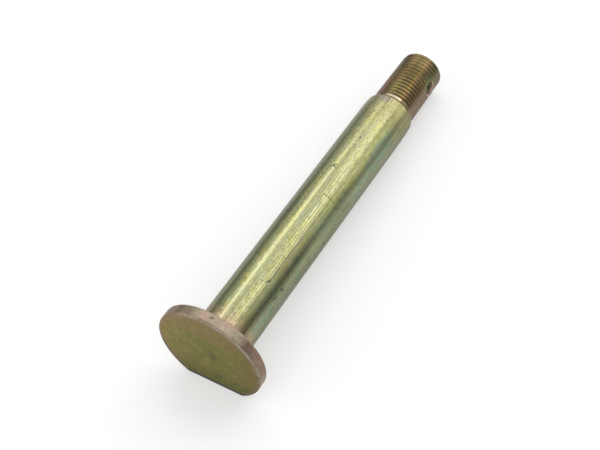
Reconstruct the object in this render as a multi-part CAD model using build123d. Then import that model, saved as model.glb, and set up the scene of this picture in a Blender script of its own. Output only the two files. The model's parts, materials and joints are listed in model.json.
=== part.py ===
"""Stepped pin bolt: a thin round head with one flat, a long plain shank, and a smaller threaded end
with a split-pin hole. It is forged and turned from one bar, so it is one solid.

The bolt is drawn along +X from the centre of the head's outer face, with the head's flat below the
axis. It is then laid on that flat's edge and on whatever meets the table next, the shoulder or the
threaded end, which is how it rests. Sizes are in millimetres.
"""
from build123d import *
import os
from math import asin, atan2, cos, degrees, hypot, radians, sin

# Head
head_diameter = 27.8
head_thickness = 3.1
head_flat_depth = 2.3
head_flat_corner_radius = 1.2
head_face_edge_radius = 0.35
head_under_edge_radius = 0.5

# Shank
shank_diameter = 14.0
grip_length = 86.0
under_head_fillet = 0.6
lead_in_length = 4.0
lead_in_depth = 0.15
shoulder_edge_radius = 0.35

# Threaded end, whose M12 x 1.25 thread is drawn as its plain outer surface
threaded_end_length = 20.0
thread_diameter = 12.0
neck_oversize = 0.1
neck_length = 1.9
neck_root_fillet = 0.25
end_chamfer = 0.5

# Split-pin hole, across the threaded end and parallel to the head's flat
split_pin_hole_diameter = 4.0
split_pin_hole_from_end = 6.2
split_pin_mouth_chamfer = 0.6

# Places along the axis, from the head's outer face
shoulder_x = head_thickness + grip_length
thread_start_x = shoulder_x + neck_length
end_x = shoulder_x + threaded_end_length
split_pin_x = end_x - split_pin_hole_from_end

# Radii
head_radius = head_diameter / 2
head_flat_distance = head_radius - head_flat_depth
shank_radius = shank_diameter / 2
shoulder_radius = shank_radius - lead_in_depth
thread_radius = thread_diameter / 2
neck_radius = thread_radius + neck_oversize
split_pin_radius = split_pin_hole_diameter / 2

# Centre of the rounded edge, along the flat and under the head, that the bolt lies on
flat_edge_x = head_thickness - head_under_edge_radius
flat_edge_below = head_flat_distance - head_under_edge_radius


def circle_edges(part, x, radius):
    """The edges of a part that lie in the plane at x and are arcs of this radius about the axis."""
    found = [
        edge
        for edge in part.edges().filter_by(GeomType.CIRCLE)
        if abs(edge.arc_center.X - x) < 1e-4 and abs(edge.radius - radius) < 1e-4
    ]
    return ShapeList(found)


def head():
    """The round head with its flat, every edge eased as a forging's are."""
    with BuildPart() as blank:
        with BuildSketch(Plane.YZ):
            Circle(head_radius)
            with Locations((0, -head_flat_distance)):
                Rectangle(head_diameter, head_diameter, align=(Align.CENTER, Align.MAX), mode=Mode.SUBTRACT)
        extrude(amount=head_thickness)
        fillet(blank.edges().filter_by(Axis.X), head_flat_corner_radius)
        fillet(blank.faces().sort_by(Axis.X)[0].edges(), head_face_edge_radius)
        fillet(blank.faces().sort_by(Axis.X)[-1].edges(), head_under_edge_radius)
    return blank.part


def stem():
    """The shank, its lead-in and the threaded end, turned about the axis from one profile."""
    inside_head_x = head_thickness / 2
    profile = [
        (inside_head_x, 0),
        (inside_head_x, shank_radius),
        (shoulder_x - lead_in_length, shank_radius),
        (shoulder_x, shoulder_radius),
        (shoulder_x, neck_radius),
        (thread_start_x, neck_radius),
        (thread_start_x + neck_oversize, thread_radius),
        (end_x, thread_radius),
        (end_x, 0),
    ]
    with BuildPart() as turned:
        with BuildSketch(Plane.XZ):
            with BuildLine():
                Polyline(*profile, close=True)
            make_face()
        revolve(axis=Axis.X)
    return turned.part


def split_pin_drill():
    """What the drill takes away, right across the axis along Y."""
    across = Plane(origin=(split_pin_x, 0, 0), x_dir=(1, 0, 0), z_dir=(0, 1, 0))
    with BuildPart(across) as drill:
        Cylinder(split_pin_radius, 2 * shank_diameter)
    return drill.part


def split_pin_mouths(part):
    """The two curved edges where the hole breaks out through the thread's surface."""
    found = []
    for edge in part.edges():
        middle = edge.center(CenterOf.MASS)
        if abs(middle.X - split_pin_x) < split_pin_radius and abs(middle.Y) > split_pin_radius:
            found.append(edge)
    return ShapeList(found)


def bolt():
    """The whole bolt along +X."""
    with BuildPart() as whole:
        add(head())
        add(stem())
        fillet(circle_edges(whole, head_thickness, shank_radius), under_head_fillet)
        fillet(circle_edges(whole, shoulder_x, shoulder_radius), shoulder_edge_radius)
        fillet(circle_edges(whole, shoulder_x, neck_radius), neck_root_fillet)
        chamfer(circle_edges(whole, end_x, thread_radius), end_chamfer)
        add(split_pin_drill(), mode=Mode.SUBTRACT)
        chamfer(split_pin_mouths(whole), split_pin_mouth_chamfer)
    return whole.part


def resting_tilt():
    """The angle, in degrees, by which the threaded end dips when the bolt lies on its head's flat.

    The flat's edge under the head stays on the floor, and the bolt dips until a second edge meets it.
    Each edge is a small arc, given by its centre's place, how far that is below the axis, and its radius.
    """
    other_edges = [
        (shoulder_x - lead_in_length, shank_radius, 0),
        (shoulder_x - shoulder_edge_radius, shoulder_radius - shoulder_edge_radius, shoulder_edge_radius),
        (end_x - end_chamfer, thread_radius, 0),
    ]
    tilts = []
    for x, below, rounding in other_edges:
        run = x - flat_edge_x
        rise = flat_edge_below - below
        easing = asin((head_under_edge_radius - rounding) / hypot(run, rise))
        tilts.append(degrees(atan2(rise, run) + easing))
    return min(tilts)


def axis_height(tilt):
    """How far the drawing's origin is above the floor, once the bolt has tilted."""
    dip = radians(tilt)
    return flat_edge_x * sin(dip) + flat_edge_below * cos(dip) + head_under_edge_radius


def lay_down(part):
    """The bolt as it rests, with its lowest point on Z 0 and its box centred on the Z axis."""
    tilt = resting_tilt()
    tilted = Pos(0, 0, axis_height(tilt)) * Rot(0, tilt, 0) * part
    box = tilted.bounding_box()
    return Pos(-box.center().X, 0, 0) * tilted


pin_bolt = lay_down(bolt())
pin_bolt.label = "pin_bolt"

os.makedirs("parts", exist_ok=True)
export_step(pin_bolt, "parts/pin_bolt.step")
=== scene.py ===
"""The looks of the stepped pin bolt: its surface with the cut thread, its zinc finish and the studio.

The surface is drawn in the bolt's own frame, in millimetres: X runs along its axis from the centre of
the head's outer face, and Z points away from the head's flat. The mesh is then laid where the model
lies. The finish is made in the same frame, with angles about the axis in degrees. Left and right are
the photo's: +Y is on the left and -Y on the right.
"""
import json
from math import atan2, ceil, cos, pi, radians, sin, sqrt

import bmesh
import bpy
from mathutils import Matrix, Vector


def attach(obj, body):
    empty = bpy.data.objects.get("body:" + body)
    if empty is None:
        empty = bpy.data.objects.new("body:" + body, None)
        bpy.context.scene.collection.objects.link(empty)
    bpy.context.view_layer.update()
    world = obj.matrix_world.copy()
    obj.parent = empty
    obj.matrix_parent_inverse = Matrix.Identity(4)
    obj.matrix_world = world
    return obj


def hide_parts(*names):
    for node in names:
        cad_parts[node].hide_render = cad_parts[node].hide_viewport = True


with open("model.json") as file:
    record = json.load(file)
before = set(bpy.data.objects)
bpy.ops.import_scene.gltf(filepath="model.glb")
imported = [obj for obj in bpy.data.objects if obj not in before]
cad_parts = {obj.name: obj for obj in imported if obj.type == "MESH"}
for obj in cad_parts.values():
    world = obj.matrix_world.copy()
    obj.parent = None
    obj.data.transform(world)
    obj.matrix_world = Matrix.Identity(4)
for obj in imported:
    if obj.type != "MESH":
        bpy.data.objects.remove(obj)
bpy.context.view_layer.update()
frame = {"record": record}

MM = 0.001

# Head
HEAD_RADIUS = 13.9
HEAD_THICKNESS = 3.1
FLAT_DISTANCE = 11.6
FLAT_CORNER_RADIUS = 1.2
FACE_EDGE_RADIUS = 0.35
UNDER_EDGE_RADIUS = 0.5

# Shank
SHANK_RADIUS = 7.0
GRIP_LENGTH = 86.0
UNDER_HEAD_FILLET = 0.6
LEAD_IN_LENGTH = 4.0
LEAD_IN_DEPTH = 0.15
LEAD_IN_POWER = 1.5
SHOULDER_EDGE_RADIUS = 0.35
SHOULDER_RADIUS = SHANK_RADIUS - LEAD_IN_DEPTH
SHOULDER_X = HEAD_THICKNESS + GRIP_LENGTH
LEAD_IN_X = SHOULDER_X - LEAD_IN_LENGTH

# Threaded end. The thread starts in the neck and gets shallower towards the end. Its phase is in turns.
THREADED_END_LENGTH = 20.0
NECK_RADIUS = 6.1
NECK_FILLET = 0.25
PLAIN_NECK_LENGTH = 1.6
THREAD_RADIUS = 6.0
THREAD_PITCH = 1.25
THREAD_DEPTH = 0.62
THREAD_PHASE = 0.31
RUN_IN_LENGTH = 0.35
CREST_WEAR = 0.04
DEPTH_WEAR = 0.76
DEPTH_WEAR_FROM_END = 11.6
DEPTH_WEAR_LENGTH = 8.5
END_CHAMFER = 0.5
THREAD_START_X = SHOULDER_X + PLAIN_NECK_LENGTH
END_X = SHOULDER_X + THREADED_END_LENGTH
DEPTH_WEAR_X = END_X - DEPTH_WEAR_FROM_END

# The groove's section, in shares of a turn
ROOT_HALF_WIDTH = 0.075
FLANK_WIDTH = 0.33
GROOVE_EASING = 0.04

# Split-pin hole
HOLE_RADIUS = 2.0
HOLE_FROM_END = 6.2
MOUTH_CHAMFER = 0.6
HOLE_X = END_X - HOLE_FROM_END

# Columns of the mesh about the axis, and the extra ones at the flat's corners, in radians from its middle
COLUMNS = 192
CORNER_COLUMNS = 8
CORNER_FROM = 0.548
CORNER_TO = 0.620
FLAT_ANGLE = 1.5 * pi

# Parts into which the mesh divides each stretch, and steps of each rounded edge
FACE_PARTS = 27
FACE_EDGE_STEPS = 5
RIM_PARTS = 6
UNDER_EDGE_STEPS = 6
UNDERSIDE_PARTS = 7
UNDER_HEAD_STEPS = 6
SHANK_PARTS = 56
LEAD_IN_PARTS = 8
SHOULDER_STEPS = 6
NECK_FILLET_STEPS = 4
NECK_PARTS = 8
ROWS_PER_TURN = 16
SPARE_ROWS = 3
END_FACE_PARTS = 9
HOLE_SIDES = 64

# Points closer than this are one, and edges that turn further than this stay sharp
SAME_POINT = 0.0005
SHARP_FROM = radians(40)


# The surface of the bolt


def smooth(t):
    """0 below t = 0, 1 above t = 1, and an easy curve between."""
    t = min(max(t, 0.0), 1.0)
    return t * t * (3 - 2 * t)


def shares(count):
    """Shares of a stretch that is divided into count equal parts, without its two ends."""
    return [i / count for i in range(1, count)]


def quarter(steps):
    """Angles of a quarter circle, in equal steps."""
    return [0.5 * pi * i / steps for i in range(steps + 1)]


def column_angles():
    """Angles about the axis, from +Y towards +Z, evenly spaced and closer at the flat's two corners."""
    angles = {2 * pi * i / COLUMNS for i in range(COLUMNS)}
    for side in (-1, 1):
        for i in range(CORNER_COLUMNS):
            share = i / (CORNER_COLUMNS - 1)
            angles.add(FLAT_ANGLE + side * (CORNER_FROM + (CORNER_TO - CORNER_FROM) * share))
    return sorted(angles)


def head_outline(angle, inset):
    """How far the head's outline is from the axis in this direction, once it is moved in by inset."""
    from_flat = abs((angle - FLAT_ANGLE + pi) % (2 * pi) - pi)
    flat = FLAT_DISTANCE - inset
    corner_down = FLAT_DISTANCE - FLAT_CORNER_RADIUS
    corner_side = sqrt((HEAD_RADIUS - FLAT_CORNER_RADIUS) ** 2 - corner_down**2)
    if from_flat <= atan2(corner_side, flat):
        return flat / cos(from_flat)
    if from_flat >= atan2(corner_side, corner_down):
        return HEAD_RADIUS - inset
    to_corner = corner_down * cos(from_flat) + corner_side * sin(from_flat)
    corner = FLAT_CORNER_RADIUS - inset
    return to_corner + sqrt(max(corner**2 - (corner_down**2 + corner_side**2 - to_corner**2), 0.0))


def head_rings(angles):
    """Rings of the head from its face's centre to the shank, each a list of (x, radius)."""
    places = []
    for turn in quarter(FACE_EDGE_STEPS):
        places.append((FACE_EDGE_RADIUS * (1 - cos(turn)), FACE_EDGE_RADIUS * (1 - sin(turn))))
    rim_length = HEAD_THICKNESS - FACE_EDGE_RADIUS - UNDER_EDGE_RADIUS
    for share in shares(RIM_PARTS):
        places.append((FACE_EDGE_RADIUS + rim_length * share, 0.0))
    for turn in quarter(UNDER_EDGE_STEPS):
        x = HEAD_THICKNESS - UNDER_EDGE_RADIUS * (1 - sin(turn))
        places.append((x, UNDER_EDGE_RADIUS * (1 - cos(turn))))

    rings = []
    for share in shares(FACE_PARTS):
        rings.append([(0.0, share * head_outline(a, FACE_EDGE_RADIUS)) for a in angles])
    for x, inset in places:
        rings.append([(x, head_outline(a, inset)) for a in angles])
    outer = [head_outline(a, UNDER_EDGE_RADIUS) for a in angles]
    inner = SHANK_RADIUS + UNDER_HEAD_FILLET
    for share in shares(UNDERSIDE_PARTS):
        rings.append([(HEAD_THICKNESS, (1 - share) * radius + share * inner) for radius in outer])
    return rings


def turned_profile():
    """The (x, radius) points of the shank, shoulder and neck, from the fillet under the head."""
    points = []
    for turn in quarter(UNDER_HEAD_STEPS):
        x = HEAD_THICKNESS + UNDER_HEAD_FILLET * (1 - cos(turn))
        points.append((x, SHANK_RADIUS + UNDER_HEAD_FILLET * (1 - sin(turn))))
    shank_from = HEAD_THICKNESS + UNDER_HEAD_FILLET
    for share in shares(SHANK_PARTS) + [1.0]:
        points.append((shank_from + (LEAD_IN_X - shank_from) * share, SHANK_RADIUS))
    edge_x = SHOULDER_X - SHOULDER_EDGE_RADIUS
    for share in shares(LEAD_IN_PARTS) + [1.0]:
        x = LEAD_IN_X + (edge_x - LEAD_IN_X) * share
        points.append((x, SHANK_RADIUS - LEAD_IN_DEPTH * share**LEAD_IN_POWER))
    for turn in quarter(SHOULDER_STEPS)[1:]:
        x = edge_x + SHOULDER_EDGE_RADIUS * sin(turn)
        points.append((x, SHOULDER_RADIUS - SHOULDER_EDGE_RADIUS * (1 - cos(turn))))
    for turn in quarter(NECK_FILLET_STEPS):
        x = SHOULDER_X + NECK_FILLET * (1 - cos(turn))
        points.append((x, NECK_RADIUS + NECK_FILLET * (1 - sin(turn))))
    neck_from = SHOULDER_X + NECK_FILLET
    for share in shares(NECK_PARTS):
        points.append((neck_from + (THREAD_START_X - neck_from) * share, NECK_RADIUS))
    return points


def groove(turns):
    """How deep the thread is cut, as a share of its depth: 0 on the crest and 1 at the root."""
    total = 0.0
    for shift in (-GROOVE_EASING, 0.0, GROOVE_EASING):
        from_root = abs((turns + shift) % 1.0 - 0.5)
        total += 1 - min(max((from_root - ROOT_HALF_WIDTH) / FLANK_WIDTH, 0.0), 1.0)
    return total / 3


def thread_radius(x, angle):
    """The threaded end's radius: a right-hand thread from the neck on, within the end's chamfer."""
    turns = (x - THREAD_START_X) / THREAD_PITCH - angle / (2 * pi) + THREAD_PHASE
    run_in = smooth((x - THREAD_START_X) / RUN_IN_LENGTH)
    worn = 1 - DEPTH_WEAR * smooth((x - DEPTH_WEAR_X) / DEPTH_WEAR_LENGTH)
    to_crest = smooth((x - THREAD_START_X) / (END_X - THREAD_START_X))
    crest = NECK_RADIUS + (THREAD_RADIUS - CREST_WEAR - NECK_RADIUS) * to_crest
    cut = THREAD_DEPTH * run_in * worn * groove(turns)
    end_chamfer = THREAD_RADIUS - END_CHAMFER + END_X - x
    return min(crest - cut, end_chamfer)


def thread_rows(angles):
    """Rows of (x, radius) that follow the helix, so that the crests stay crisp."""
    turns = (END_X - THREAD_START_X) / THREAD_PITCH
    rows = []
    for k in range(ceil(turns * ROWS_PER_TURN) + ROWS_PER_TURN + SPARE_ROWS):
        row = []
        for a in angles:
            x = THREAD_START_X + THREAD_PITCH * (k / ROWS_PER_TURN + a / (2 * pi) - 1)
            x = min(max(x, THREAD_START_X), END_X)
            row.append((x, thread_radius(x, a)))
        rows.append(row)
    return rows


def build_surface():
    """The bolt's closed surface before the cross hole, as a bmesh."""
    angles = column_angles()
    columns = len(angles)
    mesh = bmesh.new()

    def add_ring(points):
        return [mesh.verts.new((x, r * cos(a), r * sin(a))) for (x, r), a in zip(points, angles)]

    def join(lower, upper):
        """Faces between two rows, apart from the one that closes the turn."""
        for j in range(columns - 1):
            mesh.faces.new((lower[j], upper[j], upper[j + 1], lower[j + 1]))

    def join_round(rings):
        """Faces between each ring and the next, all the way round."""
        for lower, upper in zip(rings, rings[1:]):
            join(lower, upper)
            mesh.faces.new((lower[-1], upper[-1], upper[0], lower[0]))

    rings = [add_ring(points) for points in head_rings(angles)]
    rings += [add_ring([point] * columns) for point in turned_profile()]
    thread = [add_ring(points) for points in thread_rows(angles)]
    end_radius = THREAD_RADIUS - END_CHAMFER
    end_rings = []
    for share in shares(END_FACE_PARTS):
        end_rings.append(add_ring([(END_X, end_radius * (1 - share))] * columns))

    join_round(rings + thread[:1])
    for lower, upper in zip(thread, thread[1:]):
        join(lower, upper)
    # where a turn closes, each row's end meets the start of the row that is one turn later
    for lower, upper, next_lower, next_upper in zip(
        thread, thread[1:], thread[ROWS_PER_TURN:], thread[ROWS_PER_TURN + 1 :]
    ):
        mesh.faces.new((lower[-1], upper[-1], next_upper[0], next_lower[0]))
    join_round(thread[-1:] + end_rings)

    for ring, x in ((rings[0], 0.0), (end_rings[-1], END_X)):
        centre = mesh.verts.new((x, 0, 0))
        for j in range(columns):
            mesh.faces.new((centre, ring[j], ring[(j + 1) % columns]))
    bmesh.ops.remove_doubles(mesh, verts=mesh.verts, dist=SAME_POINT)
    bmesh.ops.recalc_face_normals(mesh, faces=mesh.faces)
    return mesh


def mesh_object(name, mesh):
    """A Blender object from a bmesh drawn in millimetres."""
    bmesh.ops.scale(mesh, vec=(MM, MM, MM), verts=mesh.verts)
    data = bpy.data.meshes.new(name)
    mesh.to_mesh(data)
    mesh.free()
    made = bpy.data.objects.new(name, data)
    bpy.context.scene.collection.objects.link(made)
    return made


def hole_cutter():
    """The drill and its two mouth chamfers, which follow the thread's surface, as one closed surface."""
    mesh = bmesh.new()

    def ring(side, radius, outline_radius, depth):
        """A ring of the cutter, this deep below where a hole of the outline's radius breaks out."""
        made = []
        for j in range(HOLE_SIDES):
            a = 2 * pi * j / HOLE_SIDES
            y = sqrt(THREAD_RADIUS**2 - (outline_radius * sin(a)) ** 2) - depth
            made.append(mesh.verts.new((HOLE_X + radius * cos(a), side * y, radius * sin(a))))
        return made

    # past the mouth the chamfer runs on outwards at the same slope, and ends in a point
    overrun = 1.2 * MOUTH_CHAMFER
    point_out = 1.5
    mouth_radius = HOLE_RADIUS + MOUTH_CHAMFER
    inner = (HOLE_RADIUS, HOLE_RADIUS, MOUTH_CHAMFER)
    outer = (mouth_radius + overrun, mouth_radius, -overrun)
    rings = [ring(-1, *outer), ring(-1, *inner), ring(1, *inner), ring(1, *outer)]
    for lower, upper in zip(rings, rings[1:]):
        for j in range(HOLE_SIDES):
            k = (j + 1) % HOLE_SIDES
            mesh.faces.new((lower[j], lower[k], upper[k], upper[j]))
    for outermost, side in ((rings[0], -1), (rings[-1], 1)):
        tip = mesh.verts.new((HOLE_X, side * (THREAD_RADIUS + point_out), 0))
        for j in range(HOLE_SIDES):
            mesh.faces.new((tip, outermost[j], outermost[(j + 1) % HOLE_SIDES]))
    bmesh.ops.recalc_face_normals(mesh, faces=mesh.faces)
    return mesh_object("hole_cutter", mesh)


def drill(bolt):
    """Cuts the split-pin hole through the bolt and throws the cutter away."""
    cutter = hole_cutter()
    cut = bolt.modifiers.new("split_pin_hole", "BOOLEAN")
    cut.operation = "DIFFERENCE"
    cut.solver = "EXACT"
    cut.object = cutter
    graph = bpy.context.evaluated_depsgraph_get()
    drilled = bpy.data.meshes.new_from_object(bolt.evaluated_get(graph))
    bolt.modifiers.clear()
    whole = bolt.data
    bolt.data = drilled
    bpy.data.meshes.remove(whole)
    bpy.data.objects.remove(cutter)


def resting_place(record):
    """Where the bolt's own frame lies: its origin in metres, and its X, Y and Z directions."""
    mounts = {m["name"]: m for m in record["mounts"]}
    along = Vector(mounts["head_seat"]["axis"]).normalized()
    up = -Vector(mounts["head_flat"]["axis"]).normalized()
    across = up.cross(along)
    origin = Vector(mounts["head_seat"]["pos_m"]) - along * HEAD_THICKNESS * MM
    return origin, along, across, up


def placing(origin, x_direction, y_direction, z_direction):
    """The matrix that moves a thing to this origin and turns it to these directions."""
    turn = Matrix((x_direction, y_direction, z_direction)).transposed()
    return Matrix.Translation(origin) @ turn.to_4x4()


# The tools of the finish. In what follows, n makes a material's nodes and at says where on the bolt a
# point is, with x, y and z in mm and angles in degrees.


class Nodes:
    """Short names for the shader nodes that a material or the sky is made of."""

    def __init__(self, owner):
        owner.use_nodes = True
        self.tree = owner.node_tree
        self.tree.nodes.clear()

    def new(self, kind, **values):
        """A node of this kind, with its settings."""
        node = self.tree.nodes.new(kind)
        for name, value in values.items():
            setattr(node, name, value)
        return node

    def feed(self, socket, value):
        """Links another node's output to a socket, or sets a plain value on it."""
        if isinstance(value, bpy.types.NodeSocket):
            self.tree.links.new(value, socket)
        else:
            socket.default_value = value

    def filled(self, node, values):
        """The node with its first sockets fed in order."""
        for socket, value in zip(node.inputs, values):
            self.feed(socket, value)
        return node

    def math(self, operation, *values, clamp=False):
        """The result of one operation on plain values."""
        node = self.new("ShaderNodeMath", operation=operation, use_clamp=clamp)
        return self.filled(node, values).outputs[0]

    def vector_math(self, operation, *values, output="Vector"):
        """The result of one operation on vectors."""
        node = self.new("ShaderNodeVectorMath", operation=operation)
        return self.filled(node, values).outputs[output]

    def folded(self, operation, values):
        """One operation applied along a list of values."""
        result = values[0]
        for value in values[1:]:
            result = self.math(operation, result, value)
        return result

    def plus(self, *values):
        """The sum of several values."""
        return self.folded("ADD", values)

    def times(self, *values):
        """The product of several values."""
        return self.folded("MULTIPLY", values)

    def most(self, *values):
        """The largest of several values."""
        return self.folded("MAXIMUM", values)

    def minus(self, a, b):
        """One value less another."""
        return self.math("SUBTRACT", a, b)

    def length(self, a, b):
        """How long a step of a one way and b across it is."""
        return self.math("SQRT", self.plus(self.math("POWER", a, 2.0), self.math("POWER", b, 2.0)))

    def between(self, value, low, high, to_low=0.0, to_high=1.0):
        """A smooth step from to_low to to_high as value goes from low to high."""
        node = self.new("ShaderNodeMapRange", interpolation_type="SMOOTHSTEP")
        if low > high:
            low, high, to_low, to_high = high, low, to_high, to_low
        return self.filled(node, (value, low, high, to_low, to_high)).outputs[0]

    def near(self, value, centre, full, none):
        """1 where value is within full of the centre, falling smoothly to 0 at a distance of none."""
        return self.between(self.math("ABSOLUTE", self.minus(value, centre)), none, full)

    def ease(self, share, at_none, at_all):
        """One value where share is 0, the other where it is 1, and a smooth step between."""
        return self.between(share, 0.0, 1.0, at_none, at_all)

    def swing(self, noise, amount, middle=0.5):
        """A noise moved to swing about 0, by this amount."""
        return self.times(self.minus(noise, middle), amount)

    def varied(self, noise, amount, middle=0.5):
        """A factor that swings about 1 with a noise, by this amount."""
        return self.plus(1.0, self.swing(noise, amount, middle))

    def point(self, x, y, z):
        """A vector from its three parts."""
        return self.filled(self.new("ShaderNodeCombineXYZ"), (x, y, z)).outputs[0]

    def along(self, position, direction):
        """How far a position is along a fixed direction."""
        return self.vector_math("DOT_PRODUCT", position, direction, output="Value")

    def scaled(self, vector, factor):
        """A colour or a vector, times a factor."""
        node = self.new("ShaderNodeVectorMath", operation="SCALE")
        self.feed(node.inputs[0], vector)
        self.feed(node.inputs["Scale"], factor)
        return node.outputs["Vector"]

    def noise(self, vector, scale, detail, rough):
        """A smooth noise between 0 and 1, and a half on average."""
        node = self.new("ShaderNodeTexNoise")
        self.feed(node.inputs["Vector"], vector)
        self.feed(node.inputs["Scale"], scale)
        self.feed(node.inputs["Detail"], detail)
        self.feed(node.inputs["Roughness"], rough)
        return node.outputs["Fac"]

    def layered(self, base, *layers):
        """A base colour with others laid over it in turn, each given as (share, colour)."""
        for share, colour in layers:
            base = self.mix(share, base, colour)
        return base

    def mix(self, share, a, b):
        """Colour a where share is 0, and colour b where it is 1."""
        node = self.new("ShaderNodeMix", data_type="RGBA")
        self.feed(node.inputs[0], share)
        # a Mix node keeps its two colours in sockets 6 and 7, and gives the mixed one in output 2
        for socket, colour in ((node.inputs[6], a), (node.inputs[7], b)):
            self.feed(socket, colour if isinstance(colour, bpy.types.NodeSocket) else (*colour, 1.0))
        return node.outputs[2]

    def scratch(self, position, start, end, width):
        """1 on a line between two points, falling to 0 at half its width."""
        span = end - start
        from_start = self.minus(self.along(position, span), span.dot(start))
        share = self.math("MULTIPLY", from_start, 1 / span.length_squared, clamp=True)
        nearest = self.vector_math("MULTIPLY_ADD", self.point(share, share, share), span, start)
        away = self.vector_math("DISTANCE", position, nearest, output="Value")
        return self.between(away, 0.5 * width, 0.15 * width)

    def bump(self, height, depth, normal=None):
        """The surface's normal with this relief, over an earlier one if given. The depth is in mm."""
        node = self.new("ShaderNodeBump")
        self.feed(node.inputs["Height"], height)
        self.feed(node.inputs["Distance"], depth * MM)
        if normal is not None:
            self.feed(node.inputs["Normal"], normal)
        return node.outputs["Normal"]

    def finish(self, kind, shader):
        """Leads a shader to the surface of the material or the world."""
        self.feed(self.new(kind).inputs["Surface"], shader.outputs[0])


# The dark band on the shank's right, where grain and streaks are calm, and how much of them is left there
CALM_ANGLE = 141.0
CALMEST = 0.1


class Surface:
    """Where a point of the bolt is, in the bolt's own frame, and the noises that vary its film there."""

    def __init__(self, n, place):
        self.n = n
        origin, *directions = place
        position = n.new("ShaderNodeTexCoord").outputs["Object"]

        def coordinate(direction):
            return n.times(n.minus(n.along(position, direction), origin.dot(direction)), 1 / MM)

        self.x, self.y, self.z = (coordinate(direction) for direction in directions)
        self.mm = n.point(self.x, self.y, self.z)
        self.radius = n.length(self.y, self.z)
        # degrees about the axis: 0 along +Y, 90 away from the flat, 180 along -Y
        turn = n.math("ARCTAN2", n.times(self.y, -1.0), self.z)
        self.angle = n.plus(n.times(turn, 180 / pi), 90.0)

        self.on_head = n.between(self.x, HEAD_THICKNESS + 0.05, HEAD_THICKNESS - 0.1)
        self.on_face = n.times(n.between(self.x, 0.30, 0.12), self.on_head)
        self.on_end = n.between(self.x, SHOULDER_X - 0.1, SHOULDER_X + 0.1)
        self.on_shank = n.times(n.minus(1.0, self.on_head), n.minus(1.0, self.on_end))
        self.from_hole = n.length(n.minus(self.x, HOLE_X), self.z)
        inside = n.between(self.from_hole, HOLE_RADIUS + 0.35, HOLE_RADIUS + 0.1)
        self.in_hole = n.times(inside, self.on_end)

        self.lines = self.drawn_out(0.012, 2.1, 2.0, 0.7)
        self.short_lines = self.drawn_out(0.16, 3.6, 2.0, 0.6)
        self.bands = self.drawn_out(0.05, 0.9, 1.0, 0.5)
        self.tint = self.drawn_out(0.06, 2.9, 2.0, 0.6)
        self.grain = self.drawn_out(0.4, 3.4, 2.0, 0.7)
        self.patches = self.drawn_out(0.25, 0.35, 3.0, 0.55)
        self.mottle = n.noise(self.mm, 0.55, 3.0, 0.6)

        # the film's colours follow this angle, so that their borders wander
        self.wandering = n.plus(self.angle, n.swing(self.patches, 60.0))
        self.on_top = n.near(self.wandering, 105.0, 18.0, 34.0)
        self.calm = n.ease(n.near(self.angle, CALM_ANGLE, 13.0, 21.0), 1.0, CALMEST)

    def drawn_out(self, share, scale, detail, rough):
        """A noise drawn out along the bolt, which sees only this share of each step along it."""
        squeezed = self.n.point(self.n.times(self.x, share), self.y, self.z)
        return self.n.noise(squeezed, scale, detail, rough)


# The shank's finish. Colours are linear red, green and blue.
SIDE_SAGE = (0.268, 0.288, 0.160)
SIDE_GREEN = (0.222, 0.285, 0.176)
SIDE_BROWN = (0.250, 0.236, 0.142)
SIDE_MAUVE = (0.268, 0.246, 0.168)
SIDE_PALE = (0.262, 0.345, 0.245)
TOP_STRAW = (0.308, 0.302, 0.142)
TOP_GREEN = (0.296, 0.308, 0.170)
TOP_YELLOW = (0.330, 0.318, 0.098)
TOP_GREY = (0.284, 0.293, 0.180)
TOP_OLIVE = (0.290, 0.305, 0.112)
SHANK_PINK = (0.366, 0.282, 0.168)
SHANK_PINK_LINES = (0.430, 0.282, 0.215)
SHANK_WARM = (0.330, 0.295, 0.142)
SHANK_COLLAR = (0.300, 0.275, 0.235)
# the colour of the painted highlights along the drawn lines
SHANK_HIGHLIGHT = (0.600, 0.565, 0.325)
# the colour of the painted darker strip between the highlights
SHANK_DULL_SHADE = (0.235, 0.250, 0.150)

# Painted highlights on the lines that the drawing die left, each a bright line in the colour: angle, x
# where each starts, is full and stops, and strength
DRAWN_LINE_HIGHLIGHTS = (
    (104.3, 46, 62, 84, 0.7),
    (107.8, 50, 64, 84, 0.5),
    (111.2, 30, 44, 87, 1.0),
    (116.4, 4, 14, 87, 0.9),
    (121.7, 4, 12, 66, 1.0),
    (125.6, 34, 52, 80, 0.4),
    (130.6, 36, 48, 84, 0.6),
)
DRAWN_LINE_FADE = 12.0


def shank_sides(n, at):
    """The film on the shank's sides: two greens, with brown, mauve and pale places."""
    mauve_spots = n.times(n.near(at.angle, 180.0, 8.0, 20.0), n.between(at.mottle, 0.44, 0.58), 0.6)
    pale_runs = n.times(
        n.most(n.near(at.x, 12.0, 3.0, 7.0), n.near(at.x, 66.0, 6.0, 13.0)),
        n.near(at.angle, 162.0, 5.0, 13.0),
        n.between(at.mottle, 0.66, 0.45),
        0.6,
    )
    return n.layered(
        SIDE_SAGE,
        (n.between(at.patches, 0.38, 0.64), SIDE_GREEN),
        (n.between(at.mottle, 0.48, 0.70), SIDE_BROWN),
        (mauve_spots, SIDE_MAUVE),
        (pale_runs, SIDE_PALE),
    )


def shank_top(n, at):
    """The film on the shank's top: straw and green, yellow and grey streaks, and olive beside them."""
    olive_side = n.times(n.near(at.wandering, 134.0, 4.0, 12.0), n.between(at.x, 38.0, 52.0))
    return n.layered(
        TOP_STRAW,
        (n.between(at.mottle, 0.40, 0.62), TOP_GREEN),
        (n.between(at.tint, 0.50, 0.66), TOP_YELLOW),
        (n.between(at.tint, 0.46, 0.34), TOP_GREY),
        (olive_side, TOP_OLIVE),
    )


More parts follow.
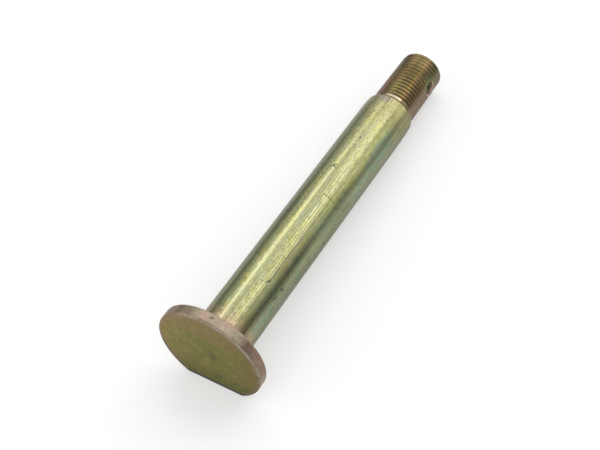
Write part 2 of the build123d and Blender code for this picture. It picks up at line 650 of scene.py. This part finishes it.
def shank_film(n, at):
    """The film on the shank: green sides, a yellower top, pink beside the head, warm at the shoulder. The
    yellower top under the highlight and the greener sides that reflect the floor are partly the film's
    tint, partly painted reflection tint.
    """
    pink = n.times(n.between(at.x, 12.0, 5.0), n.between(at.mottle, 0.25, 0.55, 0.7, 1.0))
    # pink lines in the lit band beside the head: partly the film's pink, partly painted highlight
    pink_lines = n.times(
        n.between(at.x, 8.0, 5.0),
        n.near(at.angle, 106.0, 18.0, 28.0),
        n.between(at.lines, 0.40, 0.60, 0.4, 1.0),
        0.85,
    )
    collar = n.times(
        n.between(at.x, LEAD_IN_X - 0.1, LEAD_IN_X + 3.3),
        n.near(at.angle, 78.0, 14.0, 40.0),
        n.between(at.mottle, 0.42, 0.6),
    )
    return n.layered(
        shank_sides(n, at),
        (n.near(at.wandering, 106.0, 24.0, 44.0), shank_top(n, at)),
        (pink, SHANK_PINK),
        (pink_lines, SHANK_PINK_LINES),
        (n.times(n.between(at.x, 74.0, 88.0), 0.75), SHANK_WARM),
        (collar, SHANK_COLLAR),
    )


def shank_light(n, at):
    """How light the shank is: grain and streaks, strongest on its lit top, where they partly stand for
    painted highlight, with painted shade on its sides and in darker stretches.
    """
    calm_streaks = n.between(at.calm, CALMEST, 1.0, 0.35, 1.0)
    streaks = n.varied(at.lines, n.times(n.ease(at.on_top, 0.45, 1.3), calm_streaks))
    specks = n.varied(at.short_lines, n.ease(at.on_top, 0.35, 1.1))
    sparkle = n.varied(at.grain, n.times(n.ease(at.on_top, 0.6, 2.0), at.calm))
    blots = n.varied(n.plus(at.bands, at.mottle), n.ease(at.on_top, 0.8, 0.05), middle=1.0)
    # painted shade on both sides, which dims the floor they reflect
    left = n.between(at.angle, 70.0, 50.0, 1.0, 0.82)
    right = n.between(at.angle, 166.0, 190.0, 1.0, 0.78)
    # painted shade: darker stretches where the room's dark corners are reflected, and on the top beside
    # the shoulder
    painted_shade = n.plus(
        n.times(n.near(at.angle, 150.0, 2.0, 9.0), n.between(at.x, 78.0, 84.0, 0.28, 0.14)),
        n.times(n.near(at.angle, CALM_ANGLE, 4.0, 10.0), n.between(at.x, 46.0, 32.0, -0.10, 0.20)),
        n.times(n.near(at.angle, 61.0, 4.0, 11.0), 0.10),
        n.times(n.between(at.x, 70.0, 83.0), n.between(at.angle, 112.0, 130.0), 0.10),
    )
    return n.times(streaks, specks, sparkle, blots, left, right, n.minus(1.0, painted_shade))


def shank_painted_highlights(n, at):
    """The painted highlights along the shank's drawn lines, beaded and never quite straight, and the wide
    painted highlight at its crown.
    """
    line_angle = n.plus(at.angle, n.swing(at.bands, 1.2))
    beads = n.between(at.short_lines, 0.36, 0.60, 0.35, 1.0)
    bright = n.times(n.near(at.angle, 89.8, 1.4, 4.2), n.between(at.x, 84.0, 56.0, 0.35, 1.0), 0.45)
    for angle, start, full, stop, strength in DRAWN_LINE_HIGHLIGHTS:
        rise = n.between(at.x, start, full)
        fall = n.between(at.x, stop, stop - DRAWN_LINE_FADE)
        line = n.times(n.near(line_angle, angle, 0.5, 1.5), rise, fall, strength, beads)
        bright = n.most(bright, line)
    return n.times(bright, 0.72, at.on_shank)


def shank_colour(n, at):
    """The shank's film with its painted light and shade, its painted highlights, and a painted darker
    strip between them.
    """
    # painted shade: a darker strip at 99.5 degrees in the highlight band, fading out before the shoulder
    dull_shade_strip = n.times(n.near(at.angle, 99.5, 4.0, 8.0), n.between(at.x, 84.0, 70.0), 0.4)
    return n.layered(
        n.scaled(shank_film(n, at), shank_light(n, at)),
        (shank_painted_highlights(n, at), SHANK_HIGHLIGHT),
        (dull_shade_strip, SHANK_DULL_SHADE),
    )


# The head's finish
FACE_OLIVE = (0.186, 0.186, 0.045)
FACE_BROWN = (0.236, 0.184, 0.056)
FACE_PINK = (0.245, 0.172, 0.078)
FACE_GREEN = (0.222, 0.200, 0.050)
FACE_RUST = (0.215, 0.150, 0.060)
FACE_BORDER = (0.262, 0.180, 0.105)
RIM_PINK = (0.338, 0.252, 0.190)
RIM_STRAW = (0.305, 0.272, 0.180)
# painted shade on the rim's two sides
RIM_RIGHT_SHADE = (0.250, 0.176, 0.130)
RIM_LEFT_SHADE = (0.235, 0.172, 0.120)
RIM_YELLOW = (0.400, 0.320, 0.153)
# partly wear, partly painted highlight along the face's edge
HEAD_WORN_EDGE_HIGHLIGHT = (0.345, 0.345, 0.275)


def face_film(n, at):
    """The film on the head's face: olive in the middle, browner round it and pinker above."""
    off_centre = n.plus(at.radius, n.swing(at.mottle, 18.0), n.between(at.z, -5.0, -9.0, 0.0, -7.0))
    return n.layered(
        FACE_OLIVE,
        (n.between(off_centre, 5.0, 11.5), FACE_BROWN),
        (n.times(n.between(at.z, 4.5, 10.0), 0.7), FACE_PINK),
        (n.between(at.patches, 0.50, 0.66), FACE_GREEN),
        (n.times(n.between(at.short_lines, 0.52, 0.70), 0.6), FACE_RUST),
        (n.between(at.radius, HEAD_RADIUS - 1.5, HEAD_RADIUS - 0.5), FACE_BORDER),
    )


def rim_film(n, at):
    """The film on the rim and underside: pink and straw, with painted shade on the sides, yellow at the
    lower left.
    """
    return n.layered(
        RIM_PINK,
        (n.between(at.mottle, 0.46, 0.64), RIM_STRAW),
        (n.near(at.wandering, 161.0, 12.0, 32.0), RIM_RIGHT_SHADE),
        (n.between(at.wandering, 66.0, 52.0), RIM_LEFT_SHADE),
        (n.between(at.wandering, 24.0, 10.0), RIM_YELLOW),
    )


def head_colour(n, at):
    """The head's rim and face, with a pale line between them that is partly wear and partly painted
    highlight, and painted shade on the face's lower right.
    """
    # a pale line along the face's edge: partly wear, partly painted highlight
    worn_edge_highlight = n.times(
        n.near(at.x, 0.14, 0.06, 0.22),
        n.between(at.radius, HEAD_RADIUS - 1.0, HEAD_RADIUS - 0.4),
        n.near(at.angle, 125.0, 45.0, 70.0),
        n.between(at.mottle, 0.32, 0.54, 0.35, 0.75),
    )
    film = n.layered(rim_film(n, at), (at.on_face, face_film(n, at)), (worn_edge_highlight, HEAD_WORN_EDGE_HIGHLIGHT))
    # painted shade: the face darker towards its bottom and its right
    lower_right_shade = n.times(n.between(at.z, -3.0, -11.0, 1.0, 0.74), n.between(at.y, -5.0, -12.0, 1.0, 0.86))
    shade = n.ease(at.on_face, 1.0, lower_right_shade)
    return n.scaled(film, n.times(n.varied(at.grain, 1.1), n.varied(at.mottle, 0.7), shade))


# The threaded end's finish
# painted shade: the thread's colour outside its lit band
THREAD_SHADE = (0.116, 0.082, 0.041)
THREAD_STRAW = (0.330, 0.255, 0.118)
THREAD_TAN = (0.238, 0.168, 0.074)
THREAD_MAUVE = (0.225, 0.150, 0.150)
THREAD_GREY = (0.160, 0.140, 0.110)
THREAD_PINK = (0.252, 0.186, 0.136)
THREAD_BROWN = (0.196, 0.154, 0.112)
# the olive and orange are painted glints on the crests
THREAD_OLIVE_GLINT = (0.340, 0.315, 0.090)
THREAD_ORANGE_GLINT = (0.520, 0.292, 0.080)
THREAD_GREEN_LINES = (0.196, 0.184, 0.074)
THREAD_GREEN_SIDE = (0.140, 0.140, 0.060)
# painted shade in the lit band's grooves
THREAD_GROOVE_SHADE = (0.085, 0.066, 0.030)
# the neck's brown is partly painted shade, its pink and bright colours painted highlight, and its dark
# line a painted shadow
NECK_BROWN_SHADE = (0.160, 0.125, 0.070)
NECK_PINK_HIGHLIGHT = (0.440, 0.352, 0.262)
NECK_GLINT = (0.520, 0.420, 0.280)
NECK_RIGHT = (0.250, 0.190, 0.130)
NECK_LEFT = (0.240, 0.175, 0.150)
NECK_SHOULDER_SHADOW = (0.110, 0.088, 0.042)
END_FACE_BROWN = (0.232, 0.176, 0.104)
END_FACE_OLIVE = (0.205, 0.184, 0.096)
HOLE_LIP_GREEN = (0.155, 0.182, 0.074)
# painted light on the hole's near wall, and painted shade further in
HOLE_LIT_PINK = (0.560, 0.390, 0.310)
HOLE_LIT_YELLOW = (0.420, 0.360, 0.170)
HOLE_DEPTH_SHADE = (0.070, 0.075, 0.075)


def thread_film(n, at, lit):
    """The film on the thread: tan painted light on its lit band over painted shade, with mauve, brown and
    green places, and olive and orange painted glints.
    """
    lit_colour = n.mix(n.between(at.x, 94.0, 102.0), THREAD_STRAW, THREAD_TAN)
    left_colour = n.mix(n.between(at.x, 96.5, 99.5), THREAD_MAUVE, THREAD_GREY)
    right_colour = n.mix(n.between(at.x, 99.0, 103.0), THREAD_PINK, THREAD_BROWN)
    # painted glints: olive near 88 degrees and orange near 117
    olive = n.times(
        n.near(at.angle, 88.0, 3.0, 8.0),
        n.between(at.x, 100.0, 95.0),
        n.between(at.mottle, 0.35, 0.6, 0.3, 1.0),
    )
    orange = n.times(
        n.near(at.angle, 117.0, 1.0, 5.5),
        n.between(at.x, 97.0, 104.0, 0.75, 0.2),
        n.between(at.grain, 0.35, 0.6, 0.45, 1.0),
    )
    green_lines = n.times(
        n.between(at.lines, 0.44, 0.60),
        n.between(at.x, 95.0, 101.0),
        n.near(at.angle, 104.0, 9.0, 17.0),
        0.7,
    )
    green_side = n.times(
        n.near(at.angle, 150.0, 8.0, 18.0),
        n.between(at.x, 100.0, 103.5),
        n.between(at.mottle, 0.35, 0.55, 0.6, 1.0),
        0.75,
    )
    return n.layered(
        THREAD_SHADE,
        (lit, lit_colour),
        (n.between(at.angle, 60.0, 42.0), left_colour),
        (n.between(at.angle, 146.0, 164.0), right_colour),
        (olive, THREAD_OLIVE_GLINT),
        (orange, THREAD_ORANGE_GLINT),
        (green_lines, THREAD_GREEN_LINES),
        (green_side, THREAD_GREEN_SIDE),
    )


def thread_colour(n, at):
    """The thread: painted light on its top, whose grooves get painted shade, less so towards the end, and
    a darker last edge.
    """
    # painted light on this band of the top and painted shade in its grooves
    slanting = n.plus(at.angle, n.times(n.minus(at.x, 91.0), 0.6))
    lit = n.times(n.between(slanting, 69.0, 87.0), n.between(at.angle, 133.0, 119.0))
    groove_shade = n.times(
        n.between(at.radius, THREAD_RADIUS - 0.08, THREAD_RADIUS - 0.38),
        n.ease(lit, 0.2, 0.52),
        n.between(at.x, 98.0, 106.0, 1.0, 0.22),
    )
    film = n.mix(groove_shade, thread_film(n, at, lit), THREAD_GROOVE_SHADE)
    last_edge = n.between(at.x, END_X - 0.8, END_X - 0.4, 1.0, 0.6)
    return n.scaled(film, n.times(n.varied(at.grain, 1.0), last_edge))


def neck_colour(n, at):
    """The neck: a painted pink highlight and a painted glint on its top, brown beside it that is partly
    painted shade, and a painted shadow where it meets the shoulder.
    """
    # painted shadow of the shoulder on the neck's first part
    shoulder_shadow = n.times(
        n.between(at.x, SHOULDER_X + 0.95, SHOULDER_X + 0.75),
        n.near(at.angle, 110.0, 30.0, 48.0),
    )
    return n.layered(
        NECK_BROWN_SHADE,
        (n.near(at.angle, 96.0, 12.0, 28.0), NECK_PINK_HIGHLIGHT),
        (n.near(at.angle, 116.0, 2.0, 7.0), NECK_GLINT),
        (n.between(at.angle, 148.0, 160.0), NECK_RIGHT),
        (n.between(at.angle, 60.0, 48.0), NECK_LEFT),
        (shoulder_shadow, NECK_SHOULDER_SHADOW),
    )


def hole_wall_colour(n, at):
    """The split-pin hole's wall: pink below and yellow above in its near mouth, brightened as painted
    light, and painted shade further in.
    """
    return n.layered(
        HOLE_LIT_PINK,
        (n.between(at.z, 0.6, 1.6), HOLE_LIT_YELLOW),
        (n.between(at.y, -4.9, -4.2), HOLE_DEPTH_SHADE),
    )


def end_colour(n, at):
    """The whole threaded end: thread, neck, end face and the split-pin hole with its green lip."""
    end_face = n.mix(n.between(at.mottle, 0.42, 0.60), END_FACE_BROWN, END_FACE_OLIVE)
    round_mouth = n.between(at.from_hole, 2 * HOLE_RADIUS, HOLE_RADIUS + MOUTH_CHAMFER)
    green_lip = n.times(round_mouth, n.between(at.z, -1.0, 1.0))
    return n.layered(
        thread_colour(n, at),
        (n.between(at.x, THREAD_START_X + 0.25, THREAD_START_X - 0.05), neck_colour(n, at)),
        (n.between(at.x, END_X - 0.12, END_X - 0.02), end_face),
        (green_lip, HOLE_LIP_GREEN),
        (at.in_hole, hole_wall_colour(n, at)),
    )


def on_shank_at(x, degrees):
    """A point on the shank's surface, in the bolt's own frame."""
    return (x, SHANK_RADIUS * cos(radians(degrees)), SHANK_RADIUS * sin(radians(degrees)))


# Marks from handling: where each starts and ends, and its width
CLEAR_MARKS = (
    (on_shank_at(59.4, 80.4), on_shank_at(60.0, 85.9), 0.52),
    (on_shank_at(60.0, 85.9), on_shank_at(60.6, 89.9), 0.50),
    (on_shank_at(60.0, 85.9), on_shank_at(59.6, 92.0), 0.44),
    (on_shank_at(56.4, 74.0), on_shank_at(56.8, 76.0), 0.60),
    (on_shank_at(42.7, 62.0), on_shank_at(42.9, 65.0), 0.60),
    (on_shank_at(49.9, 148.0), on_shank_at(50.2, 150.0), 0.65),
    (on_shank_at(22.3, 155.0), on_shank_at(22.7, 160.0), 0.80),
    (on_shank_at(40.9, 179.0), on_shank_at(41.6, 182.0), 0.90),
    (on_shank_at(71.6, 96.0), on_shank_at(71.9, 97.4), 0.55),
    ((0.0, -1.05, -0.05), (0.0, -1.45, 0.85), 2.8),
    ((0.0, -0.55, -8.15), (0.0, -2.65, -6.85), 1.2),
    ((0.0, -12.15, 0.15), (0.0, -13.65, -0.05), 0.9),
)
FAINT_MARKS = (
    (on_shank_at(50.6, 108.0), on_shank_at(50.5, 118.0), 0.40),
    (on_shank_at(50.5, 118.0), on_shank_at(50.4, 128.0), 0.40),
    (on_shank_at(50.4, 128.0), on_shank_at(50.3, 137.0), 0.40),
    (on_shank_at(18.9, 154.0), on_shank_at(20.0, 156.0), 0.90),
    (on_shank_at(20.9, 122.0), on_shank_at(21.5, 126.0), 0.85),
    ((1.75, -1.75, 13.85), (1.90, -2.15, 13.75), 0.9),
)
FAINTEST_MARKS = ((on_shank_at(30.7, 82.0), on_shank_at(30.5, 98.0), 0.36),)
MARK_RAGGEDNESS = 0.5
# the colour of the marks and of the painted shade along the head's lower edge
MARK_AND_EDGE_SHADE_COLOUR = (0.045, 0.045, 0.040)


def handling_marks_and_edge_shade(n, at):
    """How strongly a point is marked, by the marks from handling or by the painted shade along the head's
    lower edge.
    """
    wobble = n.scaled(n.point(at.grain, at.short_lines, at.mottle), MARK_RAGGEDNESS)
    ragged = n.vector_math("ADD", at.mm, wobble)
    # the noises swing about a half, so the wobble moves the marks by half its size
    shift = Vector((1, 1, 1)) * MARK_RAGGEDNESS / 2

    def strokes(marks):
        made = []
        for start, end, width in marks:
            made.append(n.scratch(ragged, Vector(start) + shift, Vector(end) + shift, width))
        return n.most(*made)

    # painted shade along the head's lower edge: beside the flat, and on the lower part of the rim
    rim_below_shade = n.times(
        n.between(at.radius, HEAD_RADIUS - 1.0, HEAD_RADIUS - 0.5),
        n.between(at.z, 1.0, -3.0),
        n.between(at.y, -4.0, 0.0),
    )
    lower_edge_shade = n.times(
        n.between(at.x, FACE_EDGE_RADIUS + 0.15, FACE_EDGE_RADIUS),
        n.most(n.between(at.z, 1.6 - FLAT_DISTANCE, 1.1 - FLAT_DISTANCE), rim_below_shade),
        at.on_head,
    )
    return n.most(
        n.times(strokes(CLEAR_MARKS), n.ease(at.on_face, 0.8, 0.5)),
        n.times(strokes(FAINT_MARKS), 0.55),
        n.times(strokes(FAINTEST_MARKS), 0.275),
        n.times(lower_edge_shade, 0.85),
    )


# Relief of the finish, in mm, and the tint that dulls its reflections at a grazing view
LINE_RELIEF = 0.030
GRAIN_RELIEF = 0.006
MARK_RELIEF = 0.04
GRAZING_TINT = (0.80, 0.80, 0.78, 1.0)


def zinc_normal(n, at, marks):
    """The finish's relief: drawn lines along the shank, a fine grain, and the marks sunk in, together with
    the painted shade along the head's lower edge.
    """
    line_height = n.plus(at.lines, n.times(at.short_lines, 0.4))
    lines = n.times(line_height, at.on_shank, n.between(at.calm, CALMEST, 1.0, 0.1, 1.0))
    normal = n.bump(lines, LINE_RELIEF)
    normal = n.bump(n.times(at.grain, at.calm), GRAIN_RELIEF, normal)
    return n.bump(n.times(marks, -1.0), MARK_RELIEF, normal)


def yellow_zinc(place):
    """Yellow passivated zinc on turned and forged steel, greener on the sides and pinker at the ends, with
    painted light and shade in its colour where the functions above say so.
    """
    material = bpy.data.materials.new("yellow_zinc")
    n = Nodes(material)
    at = Surface(n, place)
    # marks holds the handling marks and the painted shade along the head's lower edge
    marks = handling_marks_and_edge_shade(n, at)
    colour = n.layered(
        shank_colour(n, at),
        (at.on_end, end_colour(n, at)),
        (at.on_head, head_colour(n, at)),
        (marks, MARK_AND_EDGE_SHADE_COLOUR),
    )
    grain_rough = n.between(at.grain, 0.3, 0.7, 0.24, 0.31)
    rough = n.plus(grain_rough, n.times(at.on_head, 0.12), n.times(marks, 0.2))

    shader = n.new("ShaderNodeBsdfPrincipled")
    n.feed(shader.inputs["Base Color"], colour)
    n.feed(shader.inputs["Metallic"], n.ease(n.most(marks, at.in_hole), 1.0, 0.35))
    n.feed(shader.inputs["Roughness"], rough)
    shader.inputs["Specular Tint"].default_value = GRAZING_TINT
    n.feed(shader.inputs["Normal"], zinc_normal(n, at, marks))
    n.finish("ShaderNodeOutputMaterial", shader)
    return material


# The studio
WHITE = (1.0, 1.0, 1.0, 1.0)
FLOOR_GREY = (0.65, 0.65, 0.65, 1.0)
FLOOR_GLOW = 0.42
FLOOR_HALF_WIDTH = 3000.0
SKY_AT_HORIZON = 1.5
SKY_OVERHEAD = 0.5

# Azimuth and elevation of each, how far from there it is full and where it is gone, all in degrees, and
# its strength
SOFT_BOXES = (
    (37, 49, 0, 19, 2.85),
    (-20, 49, 18, 25, 1.35),
    (-43, 13, 10, 18, 1.75),
)
DARK_CORNERS = (
    (-71, -3, 8, 54, 1.0),
    (60, 0, 0, 40, 0.92),
)

# The photographer's lens and place, in mm and metres, and the camera's right, up and back directions
LENS = 67.93
SENSOR_WIDTH = 36.0
CAMERA_PLACE = (-0.15115, -0.10658, 0.23145)
CAMERA_RIGHT = (0.50210, -0.85903, -0.09984)
CAMERA_UP = (0.70930, 0.34302, 0.61582)
CAMERA_BACK = (-0.49476, -0.38002, 0.78154)


def floor_material():
    """Pale paper, nearly white where it is seen directly or in a reflection, with the shadow kept."""
    material = bpy.data.materials.new("floor_paper")
    n = Nodes(material)
    rays = n.new("ShaderNodeLightPath")
    seen = n.plus(rays.outputs["Is Camera Ray"], rays.outputs["Is Glossy Ray"])
    seen = n.math("ADD", seen, rays.outputs["Is Transmission Ray"], clamp=True)
    shader = n.new("ShaderNodeBsdfPrincipled")
    shader.inputs["Base Color"].default_value = FLOOR_GREY
    shader.inputs["Roughness"].default_value = 1.0
    shader.inputs["Specular IOR Level"].default_value = 0.0
    shader.inputs["Emission Color"].default_value = WHITE
    n.feed(shader.inputs["Emission Strength"], n.times(seen, FLOOR_GLOW))
    n.finish("ShaderNodeOutputMaterial", shader)
    return material


def lay_floor():
    """A wide level floor under the bolt."""
    mesh = bmesh.new()
    corners = []
    for x_side, y_side in ((-1, -1), (1, -1), (1, 1), (-1, 1)):
        corners.append(mesh.verts.new((x_side * FLOOR_HALF_WIDTH, y_side * FLOOR_HALF_WIDTH, 0)))
    mesh.faces.new(corners)
    ground = mesh_object("floor", mesh)
    ground.data.materials.append(floor_material())


def sky():
    """A softly lit room: three soft boxes beyond the bolt's far end, and a dark corner on either side."""
    world = bpy.data.worlds.new("studio")
    bpy.context.scene.world = world
    n = Nodes(world)
    direction = n.new("ShaderNodeTexCoord").outputs["Generated"]

    def patch(azimuth, elevation, full, none, amount):
        """The amount within full degrees of a direction, falling to 0 at none degrees from it."""
        az, el = radians(azimuth), radians(elevation)
        towards = n.along(direction, (cos(el) * cos(az), cos(el) * sin(az), sin(el)))
        away = n.times(n.math("ARCCOSINE", towards), 180 / pi)
        return n.between(away, none, full, 0.0, amount)

    level = n.ease(n.along(direction, (0, 0, 1)), SKY_AT_HORIZON, SKY_OVERHEAD)
    for soft_box in SOFT_BOXES:
        level = n.plus(level, patch(*soft_box))
    for corner in DARK_CORNERS:
        level = n.times(level, n.minus(1.0, patch(*corner)))
    background = n.new("ShaderNodeBackground")
    background.inputs["Color"].default_value = WHITE
    n.feed(background.inputs["Strength"], level)
    n.finish("ShaderNodeOutputWorld", background)


def set_camera():
    """The photographer's place and lens."""
    data = bpy.data.cameras.new("camera")
    data.sensor_width = SENSOR_WIDTH
    data.lens = LENS
    camera = bpy.data.objects.new("camera", data)
    camera.matrix_world = placing(CAMERA_PLACE, CAMERA_RIGHT, CAMERA_UP, CAMERA_BACK)
    bpy.context.scene.collection.objects.link(camera)
    bpy.context.scene.camera = camera


# The scene
place = resting_place(frame["record"])
bolt = mesh_object("pin_bolt_body", build_surface())
drill(bolt)
bolt.data.transform(placing(*place))
bolt.data.materials.clear()
bolt.data.materials.append(yellow_zinc(place))
bolt.data.shade_smooth()
bolt.data.set_sharp_from_angle(angle=SHARP_FROM)
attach(bolt, "root")
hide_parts("pin_bolt")

lay_floor()
sky()
set_camera()
bpy.context.scene.view_settings.view_transform = "Standard"
